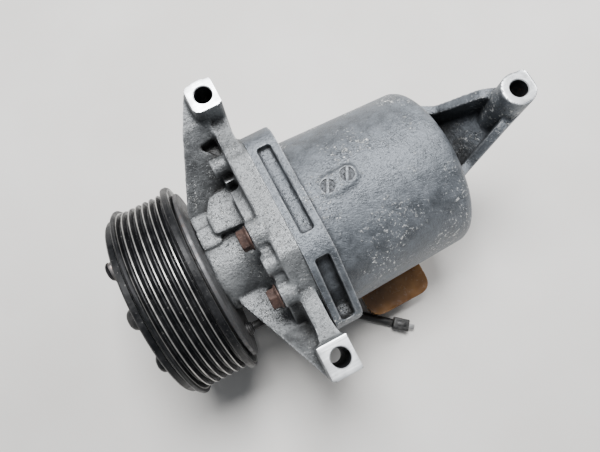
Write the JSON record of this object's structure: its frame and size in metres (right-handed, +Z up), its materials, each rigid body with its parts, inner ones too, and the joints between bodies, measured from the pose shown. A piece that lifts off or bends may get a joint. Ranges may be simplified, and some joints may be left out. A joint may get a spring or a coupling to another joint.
{
  "type": "air conditioning compressor",
  "caption": "Belt-driven automotive vane compressor with magnetic clutch pulley, cast lugs, round shell and rear bracket.",
  "frame": {"origin": "midway between the two front bolt holes, on the plane of their pads; the shaft axis is 56 mm below it", "axes": "+X along the shaft from the pulley to the rear, +Y across towards the far lug, +Z up along the mounting bolts, out of the pads"},
  "size_m": [0.2147, 0.1497, 0.1104],
  "materials": {
    "cast_aluminium": "sand-cast, oxidised and speckled",
    "machined_aluminium": "machined",
    "black_steel": "black, worn bright on the rib crests",
    "plain_steel": "ground",
    "spring_steel": "satin",
    "rusty_steel": "light rust over zinc",
    "copper": "enamelled winding",
    "rubber": "matt",
    "brown_plastic": "glossy amber-brown",
    "black_plastic": "moulded"
  },
  "bodies": {
    "housing": {"front_housing": "cast_aluminium", "rear_shell": "cast_aluminium", "housing_seal": "rubber", "housing_bolt_1": "rusty_steel", "housing_bolt_2": "rusty_steel", "housing_bolt_3": "rusty_steel", "housing_bolt_4": "rusty_steel", "housing_bolt_5": "rusty_steel", "housing_bolt_6": "rusty_steel", "transit_cover": "brown_plastic", "pulley_bearing_inner_race": "plain_steel", "pulley_snap_ring": "spring_steel", "coil_housing": "plain_steel", "coil_winding": "copper", "coil_snap_ring": "spring_steel", "lead_grommet": "rubber", "coil_lead": "rubber", "lead_connector": "black_plastic", "shaft_seal": "rubber", "seal_snap_ring": "spring_steel", "front_side_block": "machined_aluminium", "rear_side_block": "machined_aluminium", "cylinder_block": "machined_aluminium", "valve_stop_1": "spring_steel", "valve_stop_2": "spring_steel", "oil_separator": "machined_aluminium"},
    "pulley": {"pulley": "black_steel", "pulley_bearing_outer_race": "plain_steel"},
    "pulley_cage": {"pulley_bearing_cage": "plain_steel"},
    "shaft": {"drive_shaft": "plain_steel", "clutch_hub": "plain_steel", "hub_bolt": "plain_steel", "hub_rivet_1": "black_steel", "hub_rivet_2": "black_steel", "hub_rivet_3": "black_steel", "rotor": "machined_aluminium"},
    "armature": {"armature_plate": "black_steel", "leaf_spring_1": "spring_steel", "leaf_spring_2": "spring_steel", "leaf_spring_3": "spring_steel", "armature_rivet_1": "black_steel", "armature_rivet_2": "black_steel", "armature_rivet_3": "black_steel", "rubber_stop_1": "rubber", "rubber_stop_2": "rubber", "rubber_stop_3": "rubber"},
    "front_cage": {"front_needle_bearing": "plain_steel"},
    "rear_cage": {"rear_needle_bearing": "plain_steel"},
    "reed_1": {"discharge_valve_1": "spring_steel"},
    "reed_2": {"discharge_valve_2": "spring_steel"},
    "vane_1": {"vane_1": "machined_aluminium"},
    "vane_2": {"vane_2": "machined_aluminium"},
    "vane_3": {"vane_3": "machined_aluminium"},
    "vane_4": {"vane_4": "machined_aluminium"},
    "vane_5": {"vane_5": "machined_aluminium"}
  },
  "joints": [
    {"name": "pulley_spin", "type": "hinge", "parent": "housing", "child": "pulley", "pos_m": [-0.0513, 0, -0.056], "axis": [1, 0, 0], "continuous": true},
    {"name": "pulley_cage_spin", "type": "hinge", "parent": "housing", "child": "pulley_cage", "pos_m": [-0.0497, 0, -0.056], "axis": [1, 0, 0], "continuous": true},
    {"name": "shaft_spin", "type": "hinge", "parent": "housing", "child": "shaft", "pos_m": [-0.0007, 0, -0.056], "axis": [1, 0, 0], "continuous": true},
    {"name": "front_cage_spin", "type": "hinge", "parent": "housing", "child": "front_cage", "pos_m": [0.0083, 0, -0.056], "axis": [1, 0, 0], "continuous": true},
    {"name": "rear_cage_spin", "type": "hinge", "parent": "housing", "child": "rear_cage", "pos_m": [0.0563, 0, -0.056], "axis": [1, 0, 0], "continuous": true},
    {"name": "armature_pull", "type": "slide", "parent": "shaft", "child": "armature", "axis": [1, 0, 0], "range_m": [0, 0.00045], "stiffness_N_per_m": 20000},
    {"name": "vane_1_slide", "type": "slide", "parent": "shaft", "child": "vane_1", "axis": [0, 1, 0], "range_m": [0, 0.0048]},
    {"name": "vane_2_slide", "type": "slide", "parent": "shaft", "child": "vane_2", "axis": [0, 0.309, 0.9511], "range_m": [0, 0.0006]},
    {"name": "vane_3_slide", "type": "slide", "parent": "shaft", "child": "vane_3", "axis": [0, -0.809, 0.5878], "range_m": [0, 0.0032]},
    {"name": "vane_4_slide", "type": "slide", "parent": "shaft", "child": "vane_4", "axis": [0, -0.809, -0.5878], "range_m": [0, 0.0032]},
    {"name": "vane_5_slide", "type": "slide", "parent": "shaft", "child": "vane_5", "axis": [0, 0.309, -0.9511], "range_m": [0, 0.0006]},
    {"name": "discharge_valve_1_lift", "type": "hinge", "parent": "housing", "child": "reed_1", "pos_m": [0.0193, 0, -0.0253], "axis": [0, -1, 0], "range_deg": [0, 2.5], "stiffness_Nm_per_rad": 0.05},
    {"name": "discharge_valve_2_lift", "type": "hinge", "parent": "housing", "child": "reed_2", "pos_m": [0.0193, 0, -0.0867], "axis": [0, 1, 0], "range_deg": [0, 2.5], "stiffness_Nm_per_rad": 0.05}
  ],
  "couplings": [
    {"joint": "pulley_cage_spin", "follows": "pulley_spin", "ratio": 0.533},
    {"joint": "front_cage_spin", "follows": "shaft_spin", "ratio": 0.456},
    {"joint": "rear_cage_spin", "follows": "shaft_spin", "ratio": 0.456}
  ]
}
